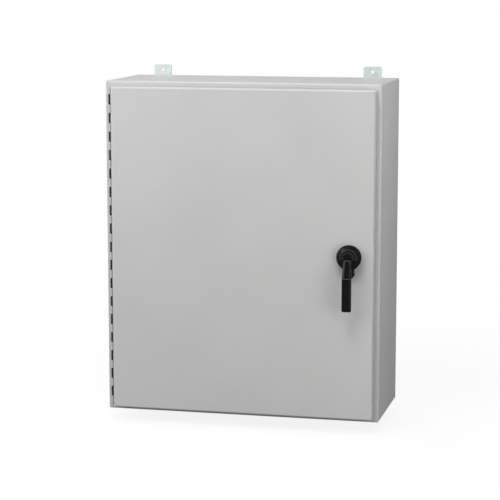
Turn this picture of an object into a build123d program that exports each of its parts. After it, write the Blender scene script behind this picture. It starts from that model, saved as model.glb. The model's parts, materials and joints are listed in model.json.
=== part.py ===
from build123d import *
import math
import os

os.makedirs("parts", exist_ok=True)

# Steel wall enclosure in millimetres. Origin: centre of the wall bolt pattern, on the wall.
# The front faces -Y, the wall is the plane Y = 0 and +Z is up.

# Body
WIDTH = 762.0
HEIGHT = 914.4
DEPTH = 304.8
SHEET = 1.9
BEND_R = 4.5
FLANGE = 34.0
HINGE_FLANGE = 48.0
COLLAR = 22.0
MOUTH_R = 12.0

# Mounting feet
FOOT_SHEET = 3.4
FOOT_WIDTH = 50.8
FOOT_RISE = 30.0
FOOT_LAP = 36.0
FOOT_CORNER = 6.0
FOOT_INSET = 76.2
FOOT_HOLE_D = 8.7
FOOT_HOLE_RISE = 15.0
FOOT_STUD_D = 8.0
FOOT_STUD_DROP = 18.0
FOOT_STUD_TAIL = 4.0
SEAL_WASHER_R = 9.0
SEAL_WASHER_T = 2.0
FOOT_NUT_FLATS = 13.0
FOOT_NUT_T = 6.5

# Door
DOOR_PROUD = 34.0
DOOR_TOP_MARGIN = 14.5
DOOR_FOOT_MARGIN = 12.3
LATCH_MARGIN = 13.0
HINGE_MARGIN = 24.6
DOOR_GAP = 4.0
LIP = 18.0
GASKET_WIDTH = 12.0
GASKET_GAP = 0.3
STIFF_SHEET = 1.5
STIFF_WEB = 30.0
STIFF_FOOT = 15.0
STIFF_DEEP = 15.0
STIFF_SHORT = 60.0

# Continuous hinge
HINGE_INSET = 12.2
HINGE_PIN_D = 3.2
LEAF_SHEET = 1.5
LEAF_WIDTH = 26.0
KNUCKLE_PITCH = 50.8
DOOR_KNUCKLE = 28.0
KNUCKLE_END = 10.0
KNUCKLE_GAP = 0.4
HINGE_TRIM = 5.0

# Mounting panel inside
PANEL_MARGIN = 38.1
PANEL_SHEET = 2.7
PANEL_STUD_INSET = 25.4
PANEL_STUD_D = 9.5
PANEL_STUD_TAIL = 6.0
COLLAR_STUD_R = 8.0
COLLAR_STUD_LONG = 12.7
PANEL_NUT_FLATS = 14.3
PANEL_NUT_T = 8.5
PANEL_WASHER_R = 11.0
PANEL_WASHER_T = 1.6

# Ground studs
GROUND_D = 6.0
GROUND_LONG = 18.0
GROUND_UP = 100.0
GROUND_BACK = 90.0
GROUND_IN = 80.0
GROUND_NUT_FLATS = 10.0
GROUND_NUT_T = 5.0
GROUND_WASHER_R = 7.5
GROUND_WASHER_T = 1.2

# Handle on the door
HANDLE_INSET = 76.2
HANDLE_SEAL_T = 1.5
BASE_R = 32.0
BASE_T = 9.0
TAIL_HALF = 13.0
BOSS_R = 14.2
BOSS_DROP = 44.3
BOSS_T = 15.0
PADLOCK_D = 8.0
PADLOCK_DROP = 46.0
HUB_R = 33.8
HUB_RIM = 6.0
HUB_BEVEL = 4.0
HUB_DOME = 5.5
NECK_WIDTH = 24.0
NECK_DEEP = 20.0
NECK_CORNER = 7.0
NECK_TIP_CORNER = 6.0
NECK_OUT = 36.0
NECK_ROOT = 3.0
NECK_END = 5.0
NECK_DROP = 56.0
GRIP_WIDTH = 25.7
GRIP_DEEP = 13.0
GRIP_CORNER = 4.0
GRIP_TOP = 50.0
GRIP_TIP = 141.0
GRIP_OUT = 52.0
SPINDLE_D = 12.0
SOCKET = 9.0
BUSH_D = 20.0
BUSH_HEAD_R = 14.0
BUSH_HEAD_T = 2.5
BUSH_TAIL = 18.0
BUSH_NUT_FLATS = 30.0
BUSH_NUT_T = 6.0
SCREW_D = 6.0
SCREW_RISE = 24.0
SCREW_BITE = 6.0
SCREW_FLATS = 10.0
SCREW_HEAD_T = 4.0

# Latch behind the door
CAM_GAP = 1.2
CAM_T = 3.0
CAM_R = 27.0
CAM_REACH = 58.0
CAM_TONGUE = 24.0
CAM_SQUARE = 9.0
CAM_WASHER_R = 8.5
CAM_WASHER_T = 1.5
CAM_SCREW_BITE = 12.0
CRANK_R = 20.0
CRANK_START = 45.0
CRANK_PIN_D = 8.0
CRANK_HEAD_R = 6.5
CRANK_HEAD_T = 2.0
ROD_WIDTH = 14.0
ROD_T = 3.0
JAW_WALL = 5.6
JAW_HALF = 12.0
JAW_PLAY = 0.9
ROLLER_R = 9.5
ROLLER_WIDTH = 8.0
ROLLER_GAP = 2.0
ROLLER_SIDE = 0.5
ROLLER_CLEAR = 6.0
ROLLER_PIN_D = 6.0
ROLLER_HEAD_R = 4.5
ROLLER_HEAD_T = 1.5
EAR_BACK = 5.0
EAR_END = 5.0
EAR_ROOT = 8.0
BAR_SHORT = 1.5
GUIDE_HALF = 20.0
GUIDE_SHEET = 2.5
GUIDE_FOOT = 30.0
GUIDE_BACK = 8.0
GUIDE_PLAY = 0.4
GUIDE_INNER = 100.0
GUIDE_OUTER = 50.0

# Clearances
RUN_FIT = 0.05
BOLT_FIT = 0.2
RUN_GAP = 0.5

# Planes that the pieces share
LEFT = -WIDTH / 2
RIGHT = WIDTH / 2
BOTTOM = -HEIGHT / 2
TOP = HEIGHT / 2
BACK = -FOOT_SHEET
BACK_IN = BACK - SHEET
FRONT = BACK - DEPTH
FRONT_IN = FRONT + SHEET
MOUTH_L = LEFT + HINGE_FLANGE
MOUTH_R_X = RIGHT - FLANGE
MOUTH_B = BOTTOM + FLANGE
MOUTH_T = TOP - FLANGE
DOOR_L = LEFT + HINGE_MARGIN
DOOR_R = RIGHT - LATCH_MARGIN
DOOR_B = BOTTOM + DOOR_FOOT_MARGIN
DOOR_T = TOP - DOOR_TOP_MARGIN
DOOR_F = FRONT - DOOR_PROUD
DOOR_IN = DOOR_F + SHEET
PIVOT_X = RIGHT - HANDLE_INSET
PIVOT_Z = 0.0


def block(x0, x1, y0, y1, z0, z1):
    """A box between two planes on each axis."""
    return Pos((x0 + x1) / 2, (y0 + y1) / 2, (z0 + z1) / 2) * Box(x1 - x0, y1 - y0, z1 - z0)


def round_x(y, z, x0, x1, r):
    """A round bar along X."""
    return Pos((x0 + x1) / 2, y, z) * Rot(0, 90, 0) * Cylinder(r, x1 - x0)


def round_y(x, z, y0, y1, r):
    """A round bar along Y."""
    return Pos(x, (y0 + y1) / 2, z) * Rot(90, 0, 0) * Cylinder(r, y1 - y0)


def round_z(x, y, z0, z1, r):
    """A round bar along Z."""
    return Pos(x, y, (z0 + z1) / 2) * Cylinder(r, z1 - z0)


def plate(outline, y0, y1):
    """A flat outline in X and Z, thickened from y0 to y1."""
    return extrude(Plane((0, y1, 0), (1, 0, 0), (0, -1, 0)) * outline, y1 - y0)


def window(x0, x1, z0, z1, r):
    """A rectangle in X and Z with round corners."""
    return Pos((x0 + x1) / 2, (z0 + z1) / 2) * RectangleRounded(x1 - x0, z1 - z0, r)


def hexagon(flats):
    """A hexagon of a given width across its flats."""
    return RegularPolygon(flats / math.sqrt(3), 6)


def nut_y(x, z, y0, y1, flats, hole_r):
    """A hexagon nut along Y."""
    return plate(Pos(x, z) * hexagon(flats), y0, y1) - round_y(x, z, y0, y1, hole_r)


def save(name, *solids):
    """Writes one node, which can hold several separate solids."""
    made = [s for solid in solids for s in solid.solids()]
    export_step(made[0] if len(made) == 1 else Compound(children=made), f"parts/{name}.step")


# Body: folded box with a front flange turned forward into a collar round the mouth
box = block(LEFT, RIGHT, FRONT, BACK, BOTTOM, TOP)
box = fillet(box.edges(), BEND_R)
room = block(LEFT + SHEET, RIGHT - SHEET, FRONT_IN, BACK_IN, BOTTOM + SHEET, TOP - SHEET)
room = fillet(room.edges(), BEND_R - SHEET)
collar = window(MOUTH_L - SHEET, MOUTH_R_X + SHEET, MOUTH_B - SHEET, MOUTH_T + SHEET, MOUTH_R + SHEET)
mouth = window(MOUTH_L, MOUTH_R_X, MOUTH_B, MOUTH_T, MOUTH_R)
body = box - room + plate(collar, FRONT - COLLAR, FRONT_IN) - plate(mouth, FRONT - COLLAR, FRONT_IN)

# Feet with a welded stud each, held inside by a seal washer and a nut
foot_x = WIDTH / 2 - FOOT_INSET
washer_in = BACK_IN - SEAL_WASHER_T
nut_in = washer_in - FOOT_NUT_T
washers = []
nuts = []
for side, x in (("left", -foot_x), ("right", foot_x)):
    for level, up in (("upper", 1), ("lower", -1)):
        low, high = sorted((up * (TOP - FOOT_LAP), up * (TOP + FOOT_RISE)))
        stud_z = up * (TOP - FOOT_STUD_DROP)
        hole_z = up * (TOP + FOOT_HOLE_RISE)
        foot = plate(window(x - FOOT_WIDTH / 2, x + FOOT_WIDTH / 2, low, high, FOOT_CORNER), BACK, 0)
        foot -= round_y(x, hole_z, BACK, 0, FOOT_HOLE_D / 2)
        foot += round_y(x, stud_z, nut_in - FOOT_STUD_TAIL, BACK, FOOT_STUD_D / 2)
        save(f"mounting_foot_{level}_{side}", foot)
        body -= round_y(x, stud_z, BACK_IN, BACK, FOOT_STUD_D / 2 + BOLT_FIT)
        ring = round_y(x, stud_z, washer_in, BACK_IN, SEAL_WASHER_R)
        washers.append(ring - round_y(x, stud_z, washer_in, BACK_IN, FOOT_STUD_D / 2 + RUN_FIT))
        nuts.append(nut_y(x, stud_z, nut_in, washer_in, FOOT_NUT_FLATS, FOOT_STUD_D / 2 + RUN_FIT))
save("foot_seal_washers", *washers)
save("foot_nuts", *nuts)
save("enclosure_body", body)

# Mounting panel on collar studs
panel_back = BACK_IN - COLLAR_STUD_LONG
panel_front = panel_back - PANEL_SHEET
panel_washer = panel_front - PANEL_WASHER_T
panel_nut = panel_washer - PANEL_NUT_T
panel_x = WIDTH / 2 - PANEL_MARGIN
panel_z = HEIGHT / 2 - PANEL_MARGIN
panel = block(-panel_x, panel_x, panel_front, panel_back, -panel_z, panel_z)
stud_x = panel_x - PANEL_STUD_INSET
stud_z = panel_z - PANEL_STUD_INSET
studs = []
washers = []
nuts = []
for x in (-stud_x, stud_x):
    for z in (-stud_z, stud_z):
        panel -= round_y(x, z, panel_front, panel_back, PANEL_STUD_D / 2 + BOLT_FIT)
        stud = round_y(x, z, panel_back, BACK_IN, COLLAR_STUD_R)
        studs.append(stud + round_y(x, z, panel_nut - PANEL_STUD_TAIL, panel_back, PANEL_STUD_D / 2))
        ring = round_y(x, z, panel_washer, panel_front, PANEL_WASHER_R)
        washers.append(ring - round_y(x, z, panel_washer, panel_front, PANEL_STUD_D / 2 + RUN_FIT))
        nuts.append(nut_y(x, z, panel_nut, panel_washer, PANEL_NUT_FLATS, PANEL_STUD_D / 2 + RUN_FIT))
save("mounting_panel", panel)
save("panel_collar_studs", *studs)
save("panel_washers", *washers)
save("panel_nuts", *nuts)

# Ground stud on the left wall of the body, with washer and nut
ground_y = FRONT + GROUND_BACK
ground_z = BOTTOM + GROUND_UP
ground_x = LEFT + SHEET
ground_nut = ground_x + GROUND_WASHER_T
ground_hole = GROUND_D / 2 + RUN_FIT
ring = round_x(ground_y, ground_z, ground_x, ground_nut, GROUND_WASHER_R)
hex_x = Plane((ground_nut, ground_y, ground_z), (0, 1, 0), (1, 0, 0)) * hexagon(GROUND_NUT_FLATS)
save("body_ground_stud", round_x(ground_y, ground_z, ground_x, ground_x + GROUND_LONG, GROUND_D / 2))
save("body_ground_washer", ring - round_x(ground_y, ground_z, ground_x, ground_nut, ground_hole))
nut = extrude(hex_x, GROUND_NUT_T)
save("body_ground_nut", nut - round_x(ground_y, ground_z, ground_nut, ground_nut + GROUND_NUT_T, ground_hole))

# Continuous hinge: body leaf on the flange, door leaf on the door lip, one pin through both
bore_r = HINGE_PIN_D / 2 + RUN_FIT
knuckle_r = bore_r + LEAF_SHEET
axis_x = LEFT + HINGE_INSET
axis_y = FRONT - knuckle_r
hinge_b = DOOR_B + HINGE_TRIM
hinge_t = DOOR_T - HINGE_TRIM
notch_x = axis_x + knuckle_r + RUN_GAP
leaf_end = axis_x + LEAF_WIDTH
lip_y = axis_y - knuckle_r
half = DOOR_KNUCKLE / 2
knuckles = int((hinge_t - hinge_b - 2 * KNUCKLE_END + KNUCKLE_PITCH / 2) / KNUCKLE_PITCH)
spans = [KNUCKLE_PITCH * (i - (knuckles - 1) / 2) for i in range(knuckles)]
door_spans = [(z - half, z + half) for z in spans]
edges = [hinge_b] + [z for span in door_spans for z in span] + [hinge_t]
body_spans = list(zip(edges[0::2], edges[1::2]))


def leaf(knuckle_spans, flat_y0, flat_y1):
    """A hinge leaf: a flat strip with a rolled knuckle on each span."""
    made = block(notch_x, leaf_end, flat_y0, flat_y1, hinge_b, hinge_t)
    for z0, z1 in knuckle_spans:
        low = max(z0 + KNUCKLE_GAP / 2, hinge_b)
        high = min(z1 - KNUCKLE_GAP / 2, hinge_t)
        made += block(axis_x, notch_x, flat_y0, flat_y1, low, high)
        made += round_z(axis_x, axis_y, low, high, knuckle_r)
        made -= round_z(axis_x, axis_y, low, high, bore_r)
    return made


save("hinge_body_leaf", leaf(body_spans, FRONT - LEAF_SHEET, FRONT))
save("hinge_door_leaf", leaf(door_spans, lip_y, lip_y + LEAF_SHEET))
save("hinge_pin", round_z(axis_x, axis_y, hinge_b, hinge_t, HINGE_PIN_D / 2))

# Door: folded pan with a lip for the hinge leaf, and holes for the handle
pan = block(DOOR_L, DOOR_R, DOOR_F, FRONT - DOOR_GAP, DOOR_B, DOOR_T)
back_edges = pan.faces().sort_by(Axis.Y)[-1].edges()
pan = fillet(pan.edges() - back_edges, BEND_R)
hollow = block(DOOR_L + SHEET, DOOR_R - SHEET, DOOR_IN, FRONT, DOOR_B + SHEET, DOOR_T - SHEET)
back_edges = hollow.faces().sort_by(Axis.Y)[-1].edges()
hollow = fillet(hollow.edges() - back_edges, BEND_R - SHEET)
door = pan - hollow - block(DOOR_L, DOOR_L + BEND_R, lip_y, FRONT, DOOR_B, DOOR_T)
door += block(DOOR_L, DOOR_L + LIP, lip_y - SHEET, lip_y, DOOR_B + BEND_R, DOOR_T - BEND_R)
door -= round_y(PIVOT_X, PIVOT_Z, DOOR_F, DOOR_IN, BUSH_D / 2 + BOLT_FIT)
screw_spots = (PIVOT_Z + SCREW_RISE, PIVOT_Z - SCREW_RISE)
for z in screw_spots:
    door -= round_y(PIVOT_X, z, DOOR_F, DOOR_IN, SCREW_D / 2 + BOLT_FIT)
save("door_panel", door)

# Gasket ring that meets the edge of the collar
mid = SHEET / 2
rim_l = MOUTH_L - mid
rim_r = MOUTH_R_X + mid
rim_b = MOUTH_B - mid
rim_t = MOUTH_T + mid
pad = GASKET_WIDTH / 2
outer = window(rim_l - pad, rim_r + pad, rim_b - pad, rim_t + pad, MOUTH_R + mid + pad)
inner = window(rim_l + pad, rim_r - pad, rim_b + pad, rim_t - pad, MOUTH_R + mid - pad)
save("door_gasket", plate(outer - inner, DOOR_IN, FRONT - COLLAR - GASKET_GAP))

# Upright stiffener on the inside of the door
stiff_y = DOOR_IN + STIFF_DEEP
stiff_b = MOUTH_B + STIFF_SHORT
stiff_t = MOUTH_T - STIFF_SHORT
web = STIFF_WEB / 2
foot = web + STIFF_FOOT
stiff = block(-web, web, stiff_y - STIFF_SHEET, stiff_y, stiff_b, stiff_t)
for x0, x1 in ((-foot, -web), (web, foot)):
    stiff += block(x0, x1, DOOR_IN, DOOR_IN + STIFF_SHEET, stiff_b, stiff_t)
for x0, x1 in ((-web, STIFF_SHEET - web), (web - STIFF_SHEET, web)):
    stiff += block(x0, x1, DOOR_IN, stiff_y, stiff_b, stiff_t)
save("door_stiffener", stiff)

# Ground stud on the inside of the door, with washer and nut
stud_x = DOOR_L + GROUND_IN
stud_z = DOOR_B + GROUND_UP
stud_nut = DOOR_IN + GROUND_WASHER_T
ring = round_y(stud_x, stud_z, DOOR_IN, stud_nut, GROUND_WASHER_R)
save("door_ground_stud", round_y(stud_x, stud_z, DOOR_IN, DOOR_IN + GROUND_LONG, GROUND_D / 2))
save("door_ground_washer", ring - round_y(stud_x, stud_z, DOOR_IN, stud_nut, ground_hole))
save("door_ground_nut", nut_y(stud_x, stud_z, stud_nut, stud_nut + GROUND_NUT_T, GROUND_NUT_FLATS, ground_hole))

# Handle base with a padlock tail, on a rubber seal, screwed on from behind
base_y = DOOR_F - HANDLE_SEAL_T
base_f = base_y - BASE_T
boss_z = PIVOT_Z - BOSS_DROP
centre = Pos(PIVOT_X, PIVOT_Z)
stem = Pos(PIVOT_X, PIVOT_Z - BOSS_DROP / 2) * Rectangle(2 * TAIL_HALF, BOSS_DROP)
outline = centre * Circle(BASE_R) + stem + Pos(PIVOT_X, boss_z) * Circle(BOSS_R)
boss_f = base_y - BOSS_T
lug = round_y(PIVOT_X, boss_z, boss_f, base_f, BOSS_R)
lug -= round_y(PIVOT_X, PIVOT_Z, boss_f, base_f, HUB_R + RUN_GAP)
padlock_y = (boss_f + base_y) / 2
padlock_z = PIVOT_Z - PADLOCK_DROP
padlock_bar = round_x(padlock_y, padlock_z, PIVOT_X - BASE_R, PIVOT_X + BASE_R, PADLOCK_D / 2)
base = (plate(outline, base_f, base_y) - padlock_bar) + (lug - padlock_bar)
base -= round_y(PIVOT_X, PIVOT_Z, base_f, base_y, BUSH_D / 2 + BOLT_FIT)
base -= round_y(PIVOT_X, PIVOT_Z, base_f, base_f + BUSH_HEAD_T, BUSH_HEAD_R + BOLT_FIT)
seal = plate(outline, base_y, DOOR_F) - round_y(PIVOT_X, PIVOT_Z, base_y, DOOR_F, BUSH_D / 2 + BOLT_FIT)
screws = []
for z in screw_spots:
    base -= round_y(PIVOT_X, z, base_y - SCREW_BITE, base_y, SCREW_D / 2 + RUN_FIT)
    seal -= round_y(PIVOT_X, z, base_y, DOOR_F, SCREW_D / 2 + BOLT_FIT)
    head = plate(Pos(PIVOT_X, z) * hexagon(SCREW_FLATS), DOOR_IN, DOOR_IN + SCREW_HEAD_T)
    screws.append(head + round_y(PIVOT_X, z, base_y - SCREW_BITE, DOOR_IN, SCREW_D / 2))
save("handle_base", base)
save("handle_seal", seal)
save("handle_screws", *screws)

# Bush that carries the spindle through the door, with its nut inside
bush = round_y(PIVOT_X, PIVOT_Z, base_f, DOOR_IN + BUSH_TAIL, BUSH_D / 2)
bush += round_y(PIVOT_X, PIVOT_Z, base_f, base_f + BUSH_HEAD_T, BUSH_HEAD_R)
bush -= round_y(PIVOT_X, PIVOT_Z, base_f, DOOR_IN + BUSH_TAIL, SPINDLE_D / 2 + RUN_FIT)
save("spindle_bush", bush)
bush_nut_r = BUSH_D / 2 + RUN_FIT
save("bush_nut", nut_y(PIVOT_X, PIVOT_Z, DOOR_IN, DOOR_IN + BUSH_NUT_T, BUSH_NUT_FLATS, bush_nut_r))

# Lever: a bevelled round hub, a rounded neck that slopes outward and a straight grip
hub_y = base_f - RUN_GAP
rim_y = hub_y - HUB_RIM
face_y = rim_y - HUB_BEVEL
face_r = HUB_R - HUB_BEVEL
crown_y = face_y - HUB_DOME
dome_r = (face_r**2 + HUB_DOME**2) / (2 * HUB_DOME)
dome_drop = dome_r - math.sqrt(dome_r**2 - (face_r / 2) ** 2)
with BuildPart() as hub:
    with BuildSketch(Plane.XY):
        with BuildLine():
            Polyline((0, -hub_y), (HUB_R, -hub_y), (HUB_R, -rim_y), (face_r, -face_y))
            ThreePointArc((face_r, -face_y), (face_r / 2, -crown_y - dome_drop), (0, -crown_y))
            Line((0, -crown_y), (0, -hub_y))
        make_face()
    revolve(axis=Axis.Y)
lever = Pos(PIVOT_X, 0, PIVOT_Z) * Rot(180, 0, 0) * hub.part
neck_y = DOOR_F - NECK_OUT + NECK_DEEP / 2
grip_y = DOOR_F - GRIP_OUT + GRIP_DEEP / 2
neck_a = Pos(PIVOT_X, neck_y, PIVOT_Z - NECK_ROOT) * RectangleRounded(NECK_WIDTH, NECK_DEEP, NECK_CORNER)
neck_b = Pos(PIVOT_X, grip_y, PIVOT_Z - NECK_DROP)
neck_b *= RectangleRounded(GRIP_WIDTH, GRIP_DEEP, NECK_TIP_CORNER)
neck = loft([neck_a, neck_b])
lever += fillet(neck.faces().sort_by(Axis.Z)[-1].edges(), NECK_END)
grip_half = GRIP_WIDTH / 2
grip_deep = GRIP_DEEP / 2
grip = block(
    PIVOT_X - grip_half,
    PIVOT_X + grip_half,
    grip_y - grip_deep,
    grip_y + grip_deep,
    PIVOT_Z - GRIP_TIP,
    PIVOT_Z - GRIP_TOP,
)
lever += fillet(grip.edges(), GRIP_CORNER)
socket_y = hub_y - SOCKET
lever -= round_y(PIVOT_X, PIVOT_Z, socket_y, hub_y, SPINDLE_D / 2 + RUN_FIT)
save("handle_lever", lever)

# Spindle with a square end for the cam and a tapped hole for its screw
cam_f = FRONT_IN + CAM_GAP
cam_b = cam_f + CAM_T
cam_square = CAM_SQUARE / 2
spindle = round_y(PIVOT_X, PIVOT_Z, socket_y, cam_f, SPINDLE_D / 2)
spindle += block(
    PIVOT_X - cam_square,
    PIVOT_X + cam_square,
    cam_f,
    cam_b,
    PIVOT_Z - cam_square,
    PIVOT_Z + cam_square,
) & round_y(PIVOT_X, PIVOT_Z, cam_f, cam_b, SPINDLE_D / 2)
spindle -= round_y(PIVOT_X, PIVOT_Z, cam_b - CAM_SCREW_BITE, cam_b, SCREW_D / 2 + RUN_FIT)
save("latch_spindle", spindle)

# Cam with a tongue for the latch side and two crank pins for the rods
tongue = Pos(PIVOT_X, PIVOT_Z + CAM_REACH / 2) * Rectangle(CAM_TONGUE, CAM_REACH)
cam = plate(centre * Circle(CAM_R) + tongue, cam_f, cam_b)
cam_square_fit = cam_square + RUN_FIT
cam -= block(
    PIVOT_X - cam_square_fit,
    PIVOT_X + cam_square_fit,
    cam_f,
    cam_b,
    PIVOT_Z - cam_square_fit,
    PIVOT_Z + cam_square_fit,
)
save("latch_cam", cam)
washer_b = cam_b + CAM_WASHER_T
ring = round_y(PIVOT_X, PIVOT_Z, cam_b, washer_b, CAM_WASHER_R)
save("cam_washer", ring - round_y(PIVOT_X, PIVOT_Z, cam_b, washer_b, SCREW_D / 2 + RUN_FIT))
head = plate(centre * hexagon(SCREW_FLATS), washer_b, washer_b + SCREW_HEAD_T)
save("cam_screw", head + round_y(PIVOT_X, PIVOT_Z, cam_b - CAM_SCREW_BITE, washer_b, SCREW_D / 2))

# Crank pins, rods, rollers and guides, once for each rod
rod_f = cam_b + RUN_GAP
rod_b = rod_f + ROD_T
crank_dx = CRANK_R * math.cos(math.radians(CRANK_START))
crank_dz = CRANK_R * math.sin(math.radians(CRANK_START))
jaw_in = crank_dx - CRANK_PIN_D / 2
jaw_slot = CRANK_R + CRANK_PIN_D / 2 + RUN_GAP
jaw_out = jaw_slot + JAW_WALL
jaw_gap = CRANK_PIN_D / 2 + JAW_PLAY
roller_y = FRONT_IN + ROLLER_GAP + ROLLER_R
roller_z = MOUTH_T - ROLLER_CLEAR - ROLLER_R
ear_in = ROLLER_WIDTH / 2 + ROLLER_SIDE
rod_half = ROD_WIDTH / 2
pins = []
for level, up in (("upper", 1), ("lower", -1)):
    side = -up
    pin_x = PIVOT_X + side * crank_dx
    pin_z = PIVOT_Z - up * crank_dz
    head_y = rod_b + RUN_GAP
    pin = round_y(pin_x, pin_z, cam_b, head_y, CRANK_PIN_D / 2)
    pins.append(pin + round_y(pin_x, pin_z, head_y, head_y + CRANK_HEAD_T, CRANK_HEAD_R))

    rod_x = PIVOT_X + side * (jaw_in + rod_half)
    x0, x1 = sorted((PIVOT_X + side * jaw_in, PIVOT_X + side * jaw_out))
    rod = block(x0, x1, rod_f, rod_b, pin_z - JAW_HALF, pin_z + JAW_HALF)
    end_z = up * (roller_z - ROLLER_R - BAR_SHORT)
    z0, z1 = sorted((pin_z, end_z))
    rod += block(rod_x - rod_half, rod_x + rod_half, rod_f, rod_b, z0, z1)
    x0, x1 = sorted((PIVOT_X + side * jaw_in, PIVOT_X + side * jaw_slot))
    rod -= block(x0, x1, rod_f, rod_b, pin_z - jaw_gap, pin_z + jaw_gap)
    ear_0, ear_1 = sorted((end_z - up * EAR_ROOT, up * (roller_z + EAR_END)))
    for x0, x1 in ((rod_x - rod_half, rod_x - ear_in), (rod_x + ear_in, rod_x + rod_half)):
        rod += block(x0, x1, rod_f, roller_y + EAR_BACK, ear_0, ear_1)
    axle_z = up * roller_z
    rod -= round_x(roller_y, axle_z, rod_x - rod_half, rod_x + rod_half, ROLLER_PIN_D / 2 + RUN_FIT)
    save(f"latch_rod_{level}", rod)

    roller_half = ROLLER_WIDTH / 2
    roller = round_x(roller_y, axle_z, rod_x - roller_half, rod_x + roller_half, ROLLER_R)
    roller -= round_x(roller_y, axle_z, rod_x - roller_half, rod_x + roller_half, ROLLER_PIN_D / 2 + RUN_FIT)
    save(f"roller_{level}", roller)
    head_x = rod_half + ROLLER_HEAD_T
    axle = round_x(roller_y, axle_z, rod_x - rod_half, rod_x + rod_half, ROLLER_PIN_D / 2)
    for x0, x1 in ((rod_x - head_x, rod_x - rod_half), (rod_x + rod_half, rod_x + head_x)):
        axle += round_x(roller_y, axle_z, x0, x1, ROLLER_HEAD_R)
    save(f"roller_pin_{level}", axle)

    for place, z in (("inner", GUIDE_INNER), ("outer", roller_z - GUIDE_OUTER)):
        z0, z1 = sorted((up * z, up * (z - GUIDE_SHEET)))
        guide = block(rod_x - GUIDE_HALF, rod_x + GUIDE_HALF, DOOR_IN, rod_b + GUIDE_BACK, z0, z1)
        slot_x = rod_half + GUIDE_PLAY
        guide -= block(rod_x - slot_x, rod_x + slot_x, rod_f - GUIDE_PLAY, rod_b + GUIDE_PLAY, z0, z1)
        z0, z1 = sorted((up * z, up * (z - GUIDE_FOOT)))
        guide += block(rod_x - GUIDE_HALF, rod_x + GUIDE_HALF, DOOR_IN, DOOR_IN + GUIDE_SHEET, z0, z1)
        save(f"rod_guide_{level}_{place}", guide)
save("crank_pins", *pins)
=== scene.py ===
import json
import math

import bmesh
import bpy
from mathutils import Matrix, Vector


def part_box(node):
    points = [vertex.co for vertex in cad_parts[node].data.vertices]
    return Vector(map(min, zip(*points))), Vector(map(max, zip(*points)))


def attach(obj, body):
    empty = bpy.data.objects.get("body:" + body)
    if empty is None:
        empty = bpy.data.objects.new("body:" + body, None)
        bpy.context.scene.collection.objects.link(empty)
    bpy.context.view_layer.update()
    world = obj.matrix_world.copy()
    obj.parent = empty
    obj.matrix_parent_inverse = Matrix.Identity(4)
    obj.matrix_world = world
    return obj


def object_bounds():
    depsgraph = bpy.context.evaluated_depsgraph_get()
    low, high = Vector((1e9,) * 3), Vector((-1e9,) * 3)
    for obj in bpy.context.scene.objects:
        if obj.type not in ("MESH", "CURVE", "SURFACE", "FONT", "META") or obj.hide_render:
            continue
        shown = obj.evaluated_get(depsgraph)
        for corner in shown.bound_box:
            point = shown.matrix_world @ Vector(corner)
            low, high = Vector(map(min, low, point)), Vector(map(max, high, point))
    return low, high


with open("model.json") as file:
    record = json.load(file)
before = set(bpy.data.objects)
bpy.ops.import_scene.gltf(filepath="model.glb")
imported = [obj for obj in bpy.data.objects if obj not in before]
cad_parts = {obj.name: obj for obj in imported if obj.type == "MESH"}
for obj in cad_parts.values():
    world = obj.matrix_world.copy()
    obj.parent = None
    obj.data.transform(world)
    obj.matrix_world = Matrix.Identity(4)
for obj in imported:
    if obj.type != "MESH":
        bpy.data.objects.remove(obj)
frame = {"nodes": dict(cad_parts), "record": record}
cad_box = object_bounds()
nodes = frame["nodes"]
scene = bpy.context.scene
scene.view_settings.view_transform = "Standard"

# Directions; all sizes and places below are in metres
RIGHT = Vector((1, 0, 0))
FRONT = Vector((0, -1, 0))
BACK = Vector((0, 1, 0))

# Lever hub: its middle, and the shallow dome inside its bevelled rim
lever_low, lever_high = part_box("handle_lever")
HUB_R = (lever_high.x - lever_low.x) / 2
PIVOT = Vector((lever_low.x + HUB_R, 0, lever_high.z - HUB_R))
DOME_R = 0.0835
CROWN_Y = -0.3687

# Grip ribs on the hub, in rows of a count, an inner radius and an outer radius
RIB_ROWS = ((17, 0.0192, 0.0248), (11, 0.0118, 0.0165))
RIB_SPREAD = math.radians(200)
RIB_HALF = 0.0011
RIB_RISE = 0.0011
RIB_STEPS = 4

# Fine beads inside and outside the ribs, and a low pip at the crown
BEAD_RADII = (0.0094, 0.0276)
BEAD_HALF = 0.0007
BEAD_RISE = 0.0007
BEAD_STEPS = 96
PIP_R = 0.0036
PIP_RISE = 0.0006
PIP_SINK = 0.0001

# Round-topped sections and how far they are sunk into the hub
ARCH_STEPS = 6
ARCH_SINK = 0.0004

# Thread ridges: half width and rise in pitches, crest as a share of the width, and how far they are sunk
RIDGE_HALF = 0.42
RIDGE_RISE = 0.3
RIDGE_CREST = 0.2
RIDGE_SINK = 0.0002

# Threads that show past the nuts, with the facets of one turn
PANEL_THREAD = {"length": 0.006, "radius": 0.00475, "pitch": 0.0012, "facets": 20}
FOOT_THREAD = {"length": 0.004, "radius": 0.004, "pitch": 0.001, "facets": 20}
GROUND_THREAD = {"length": 0.0118, "radius": 0.003, "pitch": 0.001, "facets": 20}
BUSH_THREAD = {"length": 0.012, "radius": 0.01, "pitch": 0.0012, "facets": 32}

# Studs of the panel and the feet, from the middle of the back
PANEL_STUD_X = 0.3175
PANEL_STUD_Z = 0.3937
FOOT_STUD_X = 0.3048
FOOT_STUD_Z = 0.4392

# Spot welds on the stiffener and the rod guides, from the middle of each piece
WELD_R = 0.0034
WELD_RISE = 0.0003
WELD_PITCH = 0.075
STIFFENER_WELD_X = 0.0225
STIFFENER_SHEET = 0.0015
GUIDE_WELD_X = 0.012
GUIDE_SHEET = 0.0025

# Round swellings such as welds and the pip
BLISTER_RINGS = 3
BLISTER_FACETS = 16

# Fine edges that the solids leave sharp
SHARP = math.radians(40)
TURNED_EDGE = 0.0004
SHEET_EDGE = 0.0005
BASE_EDGE = 0.0015
GASKET_EDGE = 0.003

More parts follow.
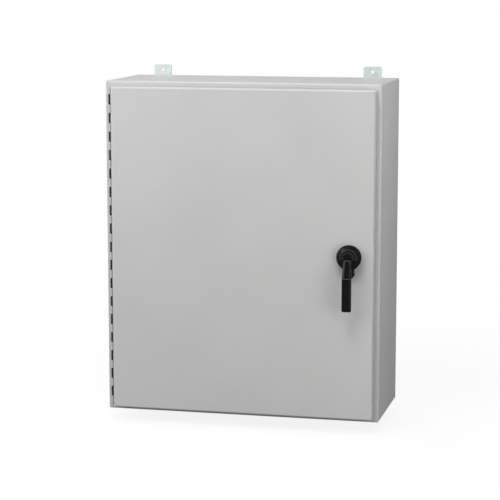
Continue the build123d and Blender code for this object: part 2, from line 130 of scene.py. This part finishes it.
# Colours and roughness that more than one material takes
GREY = (0.552, 0.553, 0.548)
# Near-black: dark steel's own colour, and also painted shade in the gaps between the hinge's knuckles
DARK_STEEL_AND_GAP_SHADE = (0.006, 0.006, 0.0065)
SATIN = 0.47

# Finishes: cloud and skin are noises (scale, detail), tones (place, change), relief (strength, height)
NOISE_ROUGHNESS = 0.55
PAINT = {
    "cloud": (5.0, 3.0),
    "tones": ((0.3, 0.975), (0.7, 1.02)),
    "skin": (260.0, 2.0),
    "gloss": (-0.05, 0.06),
    "relief": (0.12, 0.0002),
    "Specular_IOR_Level": 0.45,
}
PAINT_DUST = (900.0, 2.0)
DUST_RELIEF = (0.072, 0.00006)
PLATE = {
    "cloud": (60.0, 4.0),
    "tones": ((0.25, 0.86), (0.55, 1.0), (0.8, 1.06)),
    "skin": (700.0, 3.0),
    "gloss": (-0.08, 0.1),
    "relief": (0.25, 0.00005),
    "Metallic": 0.85,
}
CAST = {
    "cloud": (40.0, 3.0),
    "tones": ((0.3, 0.75), (0.7, 1.3)),
    "gloss": (-0.07, 0.09),
}

# Pebbled skins of cast and moulded surfaces: the noise's scale, the depth, and how strongly each mirrors
PEBBLE_DETAIL = 3.0
PEBBLE_STRENGTH = 0.4
STEEL_SKIN = {"pebble": 500.0, "depth": 0.00008, "specular": 0.2}
HANDLE_SKIN = {"pebble": 900.0, "depth": 0.00003, "specular": 0.25}
RUBBED_AND_HIGHLIT_SKIN = {"pebble": 900.0, "depth": 0.00003, "specular": 0.4}
RUBBER_SKIN = {"pebble": 400.0, "depth": 0.0001, "specular": 0.3}
NYLON_SKIN = {"pebble": 300.0, "depth": 0.00005, "specular": 0.5}

# How far the painted shade, standing for the dark gaps at the hinge's notches, reaches from the pin, in
# knuckle radii
KNUCKLE_SHADE_REACH = 1.5

# Camera at the photograph's angle, with its lens in millimetres and its tilt and turn in degrees
CAMERA_PLACE = (1.1476, -5.0759, 0.7535)
CAMERA_TILT = 8.70
CAMERA_TURN = 13.26
LENS = 131.46
SENSOR = 36.0
CLIP_END = 100.0

# Floor: its tone to the camera and to bounced light, and the distances over which its shadow fades to white
FLOOR_HALF = 40.0
FLOOR_Z = cad_box[0][2]
FLOOR_SEEN = (0.97, 0.97, 0.97, 1)
FLOOR_BOUNCED = (0.2, 0.2, 0.2, 1)
FLOOR_ROUGHNESS = 0.9
SHADOW_NEAR = 0.3
SHADOW_FAR = 1.8
SHADOW_WHITE = 0.86

# Background: white to the camera, seen in part by gloss and glass, with a soft fill for the rest
WHITE = (1, 1, 1, 1)
MIRRORED = 0.15
FILL = 0.1

# Lamps: name, place, point they look at, width, height and power in watts
LAMPS = (
    ("key", (-1.9, -2.6, 1.7), (0.0, -0.3, 0.1), 2.0, 2.0, 46),
    ("strip_left", (-2.0, -0.85, 0.45), (0.3, -0.35, 0.0), 0.45, 1.6, 13),
    ("top_front", (0.0, -1.9, 2.7), (0.0, -0.3, 0.1), 1.2, 1.2, 45),
    ("top_back", (-0.5, 0.75, 1.9), (-0.1, -0.1, 0.45), 0.7, 0.7, 12.5),
    ("side", (1.15, -0.25, 0.75), (0.38, -0.2, 0.3), 0.4, 0.4, 3.3),
    ("low_right", (1.8, -1.6, 0.05), (0.38, -0.3, 0.0), 0.9, 1.0, 12.8),
    ("front_right", (1.9, -3.0, 1.7), (0.1, -0.3, 0.1), 0.9, 0.9, 17),
    ("behind", (-1.6, 2.8, 0.0), (0.0, 0.0, 0.0), 0.85, 0.85, 42),
)


# Node helpers
def settle(node, values):
    """Sets a node's sockets, or else its properties, by name, with _ for a space in a socket's name."""
    for name, value in values.items():
        socket = name.replace("_", " ")
        if socket in node.inputs:
            node.inputs[socket].default_value = value
        else:
            setattr(node, name, value)
    return node


def add(tree, kind, **values):
    """A new node, with its sockets or properties set by name."""
    return settle(tree.nodes.new(kind), values)


def own_place(tree):
    """The place of a point in its object's own metres."""
    return add(tree, "ShaderNodeTexCoord").outputs["Object"]


def figure(tree, operation, *values, kind="ShaderNodeMath"):
    """The outputs of a math node worked on values, each a socket or a constant."""
    node = add(tree, kind, operation=operation)
    for socket, value in zip(node.inputs, values):
        if isinstance(value, bpy.types.NodeSocket):
            tree.links.new(value, socket)
        else:
            socket.default_value = value
    return node.outputs


def grain(tree, scale, detail):
    """A noise that keeps its size on every piece."""
    noise = add(tree, "ShaderNodeTexNoise", Scale=scale, Detail=detail, Roughness=NOISE_ROUGHNESS)
    tree.links.new(own_place(tree), noise.inputs["Vector"])
    return noise.outputs["Fac"]


def ramp(tree, source, stops):
    """Colours along a value from 0 to 1."""
    node = add(tree, "ShaderNodeValToRGB")
    line = node.color_ramp.elements
    while len(line) < len(stops):
        line.new(0.5)
    for stop, (at, colour) in zip(line, stops):
        stop.position = at
        stop.color = (*colour, 1)
    tree.links.new(source, node.inputs["Fac"])
    return node.outputs["Color"]


def span(tree, source, low, high):
    """A value from 0 to 1 spread between two numbers."""
    node = add(tree, "ShaderNodeMapRange", To_Min=low, To_Max=high)
    tree.links.new(source, node.inputs["Value"])
    return node.outputs["Result"]


def bump(tree, source, strength, height, under=None):
    """A bump from a height, on top of another bump if one is given."""
    node = add(tree, "ShaderNodeBump", Strength=strength, Distance=height)
    tree.links.new(source, node.inputs["Height"])
    if under is not None:
        tree.links.new(under, node.inputs["Normal"])
    return node.outputs["Normal"]


# Material helpers
def shaded(name, **values):
    """A material with its main shader, and with constants set on the shader's own sockets."""
    made = bpy.data.materials.new(name)
    made.use_nodes = True
    tree = made.node_tree
    return made, tree, settle(tree.nodes["Principled BSDF"], values)


def tone(colour, change):
    """The same colour, lighter or darker."""
    return tuple(min(1.0, part * change) for part in colour)


def finished(name, colour, roughness, cloud, tones, skin, gloss, relief, **values):
    """A material whose tone follows a cloud, and whose spread of roughness and relief follow a skin."""
    made, tree, shader = shaded(name, **values)
    stops = [(at, tone(colour, change)) for at, change in tones]
    texture = grain(tree, *skin)
    low, high = (roughness + change for change in gloss)
    tree.links.new(ramp(tree, grain(tree, *cloud), stops), shader.inputs["Base Color"])
    tree.links.new(span(tree, texture, low, high), shader.inputs["Roughness"])
    tree.links.new(bump(tree, texture, *relief), shader.inputs["Normal"])
    return made


def painted(name, colour, roughness):
    """Baked powder paint: faint orange peel with fine dust on it, and a slightly uneven tone."""
    made = finished(name, colour, roughness, **PAINT)
    tree = made.node_tree
    normal = tree.nodes["Principled BSDF"].inputs["Normal"]
    peel = normal.links[0].from_socket
    tree.links.new(bump(tree, grain(tree, *PAINT_DUST), *DUST_RELIEF, peel), normal)
    return made


def plated(name, colour, roughness):
    """Plated or drawn metal: cloudy tone, fine texture and uneven gloss."""
    return finished(name, colour, roughness, **PLATE)


def grained(name, colour, roughness, pebble, depth, specular):
    """Cast or moulded surface: a pebbled skin with a faintly uneven tone."""
    skin = (pebble, PEBBLE_DETAIL)
    relief = (PEBBLE_STRENGTH, depth)
    return finished(name, colour, roughness, skin=skin, relief=relief, Specular_IOR_Level=specular, **CAST)


def gap_shaded_paint(name, leaf, knuckle_shade, pin, radius):
    """Paint whose colour turns dark within a radius of a pin that stands along Z: painted shade for the
    dark gaps between a hinge's knuckles.
    """
    made = painted(name, leaf, SATIN)
    tree = made.node_tree
    base = tree.nodes["Principled BSDF"].inputs["Base Color"]
    vector = "ShaderNodeVectorMath"
    from_pin = figure(tree, "SUBTRACT", own_place(tree), pin, kind=vector)["Vector"]
    level = figure(tree, "MULTIPLY", from_pin, (1, 1, 0), kind=vector)["Vector"]
    reach = figure(tree, "LENGTH", level, kind=vector)["Value"]
    colour = add(tree, "ShaderNodeMixRGB", Color1=(*knuckle_shade, 1))
    tree.links.new(figure(tree, "GREATER_THAN", reach, radius)["Value"], colour.inputs["Fac"])
    tree.links.new(base.links[0].from_socket, colour.inputs["Color2"])
    tree.links.new(colour.outputs["Color"], base)
    return made


def wear(piece, material):
    """Gives a piece one material all over."""
    piece.data.materials.clear()
    piece.data.materials.append(material)


# Materials by the record's slots, and two that stand out from their slot
by_slot = {
    "grey_paint": painted("grey_paint", GREY, SATIN),
    "white_paint": painted("white_paint", (0.78, 0.78, 0.76), roughness=0.4),
    "zinc_steel": plated("zinc_steel", (0.5, 0.52, 0.515), roughness=0.36),
    "dark_steel": grained("dark_steel", DARK_STEEL_AND_GAP_SHADE, roughness=0.45, **STEEL_SKIN),
    "black_cast": grained("black_cast", (0.0036, 0.0027, 0.0029), roughness=0.2, **HANDLE_SKIN),
    "black_rubber": grained("black_rubber", (0.018, 0.018, 0.018), roughness=0.75, **RUBBER_SKIN),
    "bush_brass": plated("bush_brass", (0.62, 0.45, 0.2), roughness=0.32),
    "roller_nylon": grained("roller_nylon", (0.62, 0.6, 0.52), roughness=0.5, **NYLON_SKIN),
}
foot_zinc = plated("foot_zinc", (0.645, 0.712, 0.682), roughness=0.5)
# The ribs' black is paler than the handle's: painted highlight for the glints on the raised ribs, and
# rubbing wear
rubbed_and_highlit_black = grained("rubbed_and_highlit_black", (0.034, 0.032, 0.032), roughness=0.3, **RUBBED_AND_HIGHLIT_SKIN)

for part in frame["record"]["subparts"]:
    wear(nodes[part["node"]], by_slot[part["material_slot"]])
for name, node in nodes.items():
    if name.startswith("mounting_foot"):
        wear(node, foot_zinc)

# The hinge's door leaf has painted shade on its knuckles out to its notches, standing for the dark gaps
# between the painted knuckles, and its flat is painted with the door
pin_low, pin_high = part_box("hinge_pin")
leaf_low, leaf_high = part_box("hinge_door_leaf")
knuckle_shade_r = KNUCKLE_SHADE_REACH * (leaf_high.y - leaf_low.y) / 2
wear(nodes["hinge_door_leaf"], gap_shaded_paint("hinge_leaf_painted_shade", GREY, DARK_STEEL_AND_GAP_SHADE, (pin_low + pin_high) / 2, knuckle_shade_r))


# Mesh helpers
def piece(name, body, slot, bm):
    """Turns a bmesh into a smooth piece that rides on a body and wears a slot's material."""
    bmesh.ops.recalc_face_normals(bm, faces=bm.faces)
    mesh = bpy.data.meshes.new(name)
    bm.to_mesh(mesh)
    bm.free()
    mesh.polygons.foreach_set("use_smooth", [True] * len(mesh.polygons))
    made = bpy.data.objects.new(name, mesh)
    scene.collection.objects.link(made)
    wear(made, by_slot[slot])
    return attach(made, body)


def skin_between(bm, one, two):
    """Joins two loops of as many points with a ring of faces."""
    for k in range(len(one)):
        after = (k + 1) % len(one)
        bm.faces.new((one[k], one[after], two[after], two[k]))


def sweep(bm, path, section, closed=False):
    """Carries a section along a path of (place, side, up) frames and skins it."""
    loops = []
    for place, side, up in path:
        loops.append([bm.verts.new(place + side * a + up * b) for a, b in section])
    for one, two in zip(loops, loops[1:]):
        skin_between(bm, one, two)
    if closed:
        skin_between(bm, loops[-1], loops[0])
    else:
        bm.faces.new(loops[0])
        bm.faces.new(reversed(loops[-1]))


def arch(half, rise):
    """A low round-topped section, sunk a little into what carries it."""
    turn = [math.pi * k / ARCH_STEPS for k in range(ARCH_STEPS + 1)]
    top = [(half * math.cos(a), rise * math.sin(a)) for a in turn]
    return top + [(-half, -ARCH_SINK), (half, -ARCH_SINK)]


def blister(bm, x, y, z, r, rise):
    """A low round swelling on a flat face, from y by a rise along Y."""
    loops = []
    for k in range(BLISTER_RINGS):
        lean = math.pi / 2 * k / BLISTER_RINGS
        height = y + rise * math.sin(lean)
        spread = r * math.cos(lean)
        loop = []
        for n in range(BLISTER_FACETS):
            angle = math.tau * n / BLISTER_FACETS
            loop.append(bm.verts.new((x + spread * math.cos(angle), height, z + spread * math.sin(angle))))
        loops.append(loop)
    for one, two in zip(loops, loops[1:]):
        skin_between(bm, one, two)
    bm.faces.new(loops[-1])
    bm.faces.new(reversed(loops[0]))


def on_dome(r, angle):
    """A place on the hub's dome with its tangent and outward directions."""
    out = Vector((math.sin(angle), 0, math.cos(angle)))
    along = Vector((math.cos(angle), 0, -math.sin(angle)))
    lift = math.sqrt(DOME_R**2 - r**2)
    place = PIVOT + out * r + Vector((0, CROWN_Y + DOME_R - lift, 0))
    up = (out * (r / DOME_R) + Vector((0, -lift / DOME_R, 0))).normalized()
    return place, along, up


# Grip ribs on the hub in two rows, paler than the hub: a painted highlight for their glints, and rubbing by
# hands
bm = bmesh.new()
for count, start, end in RIB_ROWS:
    for k in range(count):
        angle = RIB_SPREAD * (k / (count - 1) - 0.5)
        path = []
        for step in range(RIB_STEPS + 1):
            path.append(on_dome(start + (end - start) * step / RIB_STEPS, angle))
        sweep(bm, path, arch(RIB_HALF, RIB_RISE))
wear(piece("hub_ribs", "latch", "black_cast", bm), rubbed_and_highlit_black)

# Beads on the hub, and the pip
bm = bmesh.new()
for r in BEAD_RADII:
    path = []
    for k in range(BEAD_STEPS):
        place, along, up = on_dome(r, math.tau * k / BEAD_STEPS)
        path.append((place, up.cross(along), up))
    sweep(bm, path, arch(BEAD_HALF, BEAD_RISE), closed=True)
blister(bm, PIVOT.x, CROWN_Y + PIP_SINK, PIVOT.z, PIP_R, -PIP_RISE)
piece("hub_beads", "latch", "black_cast", bm)


def thread(bm, start, axis, length, radius, pitch, facets):
    """A helical ridge round a stud, from a start point along an axis."""
    across = axis.orthogonal().normalized()
    other = axis.cross(across)
    count = int((length - pitch) / pitch * facets)
    half = pitch * RIDGE_HALF
    rise = pitch * RIDGE_RISE
    crest = half * RIDGE_CREST
    section = [(-half, -RIDGE_SINK), (-crest, rise), (crest, rise), (half, -RIDGE_SINK)]
    path = []
    for k in range(count + 1):
        angle = math.tau * k / facets
        out = across * math.cos(angle) + other * math.sin(angle)
        place = start + axis * (pitch * (0.5 + k / facets)) + out * radius
        path.append((place, axis, out))
    sweep(bm, path, section)


def threads(name, body, slot, starts, axis, size):
    """A piece with a thread of one size from each start, along an axis."""
    bm = bmesh.new()
    for start in starts:
        thread(bm, start, axis, **size)
    piece(name, body, slot, bm)


def past_nuts(nuts, x, z):
    """Where four studs, set evenly about the middle of the back, come out of the front of their nuts."""
    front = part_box(nuts)[0].y
    return [Vector((side * x, front, level * z)) for side in (-1, 1) for level in (-1, 1)]


def past_nut(nut, axis):
    """Where one stud comes out of its nut along an axis."""
    low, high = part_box(nut)
    return [(low + high) / 2 + axis * (high - low) / 2]


# Threads on the ends of the studs and the bush
panel_starts = past_nuts("panel_nuts", PANEL_STUD_X, PANEL_STUD_Z)
foot_starts = past_nuts("foot_nuts", FOOT_STUD_X, FOOT_STUD_Z)
body_ground = past_nut("body_ground_nut", RIGHT)
door_ground = past_nut("door_ground_nut", BACK)
bush = past_nut("bush_nut", BACK)
threads("panel_stud_threads", "enclosure", "zinc_steel", panel_starts, FRONT, PANEL_THREAD)
threads("foot_stud_threads", "enclosure", "zinc_steel", foot_starts, FRONT, FOOT_THREAD)
threads("body_ground_thread", "enclosure", "zinc_steel", body_ground, RIGHT, GROUND_THREAD)
threads("door_ground_thread", "door", "zinc_steel", door_ground, BACK, GROUND_THREAD)
threads("bush_thread", "door", "bush_brass", bush, BACK, BUSH_THREAD)

# Spot welds that hold the stiffener and the rod guides to the door
bm = bmesh.new()
low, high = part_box("door_stiffener")
count = int((high.z - low.z) / WELD_PITCH)
for x in (-STIFFENER_WELD_X, STIFFENER_WELD_X):
    for k in range(count):
        z = (low.z + high.z) / 2 + WELD_PITCH * (k - (count - 1) / 2)
        blister(bm, x, low.y + STIFFENER_SHEET, z, WELD_R, WELD_RISE)
for name in nodes:
    if name.startswith("rod_guide"):
        low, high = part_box(name)
        middle = (low + high) / 2
        for x in (-GUIDE_WELD_X, GUIDE_WELD_X):
            blister(bm, middle.x + x, low.y + GUIDE_SHEET, middle.z, WELD_R, WELD_RISE)
piece("spot_welds", "door", "grey_paint", bm)


def soften(name, width, segments=2):
    """Rounds the sharp edges of a CAD node with a modifier."""
    mod = nodes[name].modifiers.new("soften", "BEVEL")
    mod.width = width
    mod.segments = segments
    mod.limit_method = "ANGLE"
    mod.angle_limit = SHARP
    mod.harden_normals = True


# Turned pieces, the spindle and its bush among them, then sheet pieces, the handle's base and the gasket
for name in nodes:
    if "nut" in name or "screw" in name or "pin" in name:
        soften(name, TURNED_EDGE)
    elif name.startswith(("mounting_", "latch_", "rod_guide", "door_stiff")):
        soften(name, SHEET_EDGE)
soften("handle_base", BASE_EDGE, segments=3)
soften("door_gasket", GASKET_EDGE, segments=3)

# Camera
camera = bpy.data.cameras.new("camera")
camera.sensor_width = SENSOR
camera.lens = LENS
camera.clip_end = CLIP_END
view = bpy.data.objects.new("camera", camera)
view.location = CAMERA_PLACE
view.rotation_euler = (math.radians(90 - CAMERA_TILT), 0, math.radians(CAMERA_TURN))
scene.collection.objects.link(view)
scene.camera = view


def backdrop(tree):
    """The share of white background in a ray: whole for the camera, less in gloss and glass."""
    rays = add(tree, "ShaderNodeLightPath").outputs
    bounced = figure(tree, "MAXIMUM", rays["Is Glossy Ray"], rays["Is Transmission Ray"])["Value"]
    mirrored = figure(tree, "MULTIPLY", bounced, MIRRORED)["Value"]
    return figure(tree, "MAXIMUM", rays["Is Camera Ray"], mirrored)["Value"]


def overlay(tree, share, under, over, output):
    """Lays one shader over another by a share and sends it to the output."""
    blend = add(tree, "ShaderNodeMixShader")
    tree.links.new(share, blend.inputs["Fac"])
    tree.links.new(under.outputs[0], blend.inputs[1])
    tree.links.new(over.outputs[0], blend.inputs[2])
    tree.links.new(blend.outputs[0], tree.nodes[output].inputs["Surface"])


# Floor: pale, white to the camera away from the object, with the object's shadow near it
sheet = bpy.data.meshes.new("floor")
corners = [(x * FLOOR_HALF, y * FLOOR_HALF, FLOOR_Z) for x, y in ((-1, -1), (1, -1), (1, 1), (-1, 1))]
sheet.from_pydata(corners, [], [(0, 1, 2, 3)])
floor = bpy.data.objects.new("floor", sheet)
scene.collection.objects.link(floor)
floor_paint, tree, shader = shaded("floor_paint", Roughness=FLOOR_ROUGHNESS)
seen = add(tree, "ShaderNodeLightPath").outputs["Is Camera Ray"]
tone_mix = add(tree, "ShaderNodeMixRGB", Color1=FLOOR_BOUNCED, Color2=FLOOR_SEEN)
tree.links.new(seen, tone_mix.inputs["Fac"])
tree.links.new(tone_mix.outputs["Color"], shader.inputs["Base Color"])
reach = figure(tree, "LENGTH", own_place(tree), kind="ShaderNodeVectorMath")["Value"]
fade = add(tree, "ShaderNodeMapRange", interpolation_type="SMOOTHSTEP")
settle(fade, {"From_Min": SHADOW_NEAR, "From_Max": SHADOW_FAR, "To_Min": SHADOW_WHITE})
tree.links.new(reach, fade.inputs["Value"])
share = figure(tree, "MULTIPLY", backdrop(tree), fade.outputs["Result"])["Value"]
glow = add(tree, "ShaderNodeEmission", Color=WHITE, Strength=1.0)
overlay(tree, share, shader, glow, "Material Output")
sheet.materials.append(floor_paint)

# World: a soft fill, white behind the object
world = bpy.data.worlds.new("studio")
scene.world = world
world.use_nodes = True
tree = world.node_tree
fill = settle(tree.nodes["Background"], {"Color": WHITE, "Strength": FILL})
white = add(tree, "ShaderNodeBackground", Color=WHITE, Strength=1.0)
overlay(tree, backdrop(tree), fill, white, "World Output")


def softbox(name, place, aim, width, height, power):
    """An area lamp that looks at a point."""
    lamp = bpy.data.lights.new(name, "AREA")
    lamp.shape = "RECTANGLE"
    lamp.size = width
    lamp.size_y = height
    lamp.energy = power
    stand = bpy.data.objects.new(name, lamp)
    stand.location = place
    towards = Vector(aim) - Vector(place)
    stand.rotation_euler = towards.to_track_quat("-Z", "Y").to_euler()
    scene.collection.objects.link(stand)


for lamp in LAMPS:
    softbox(*lamp)
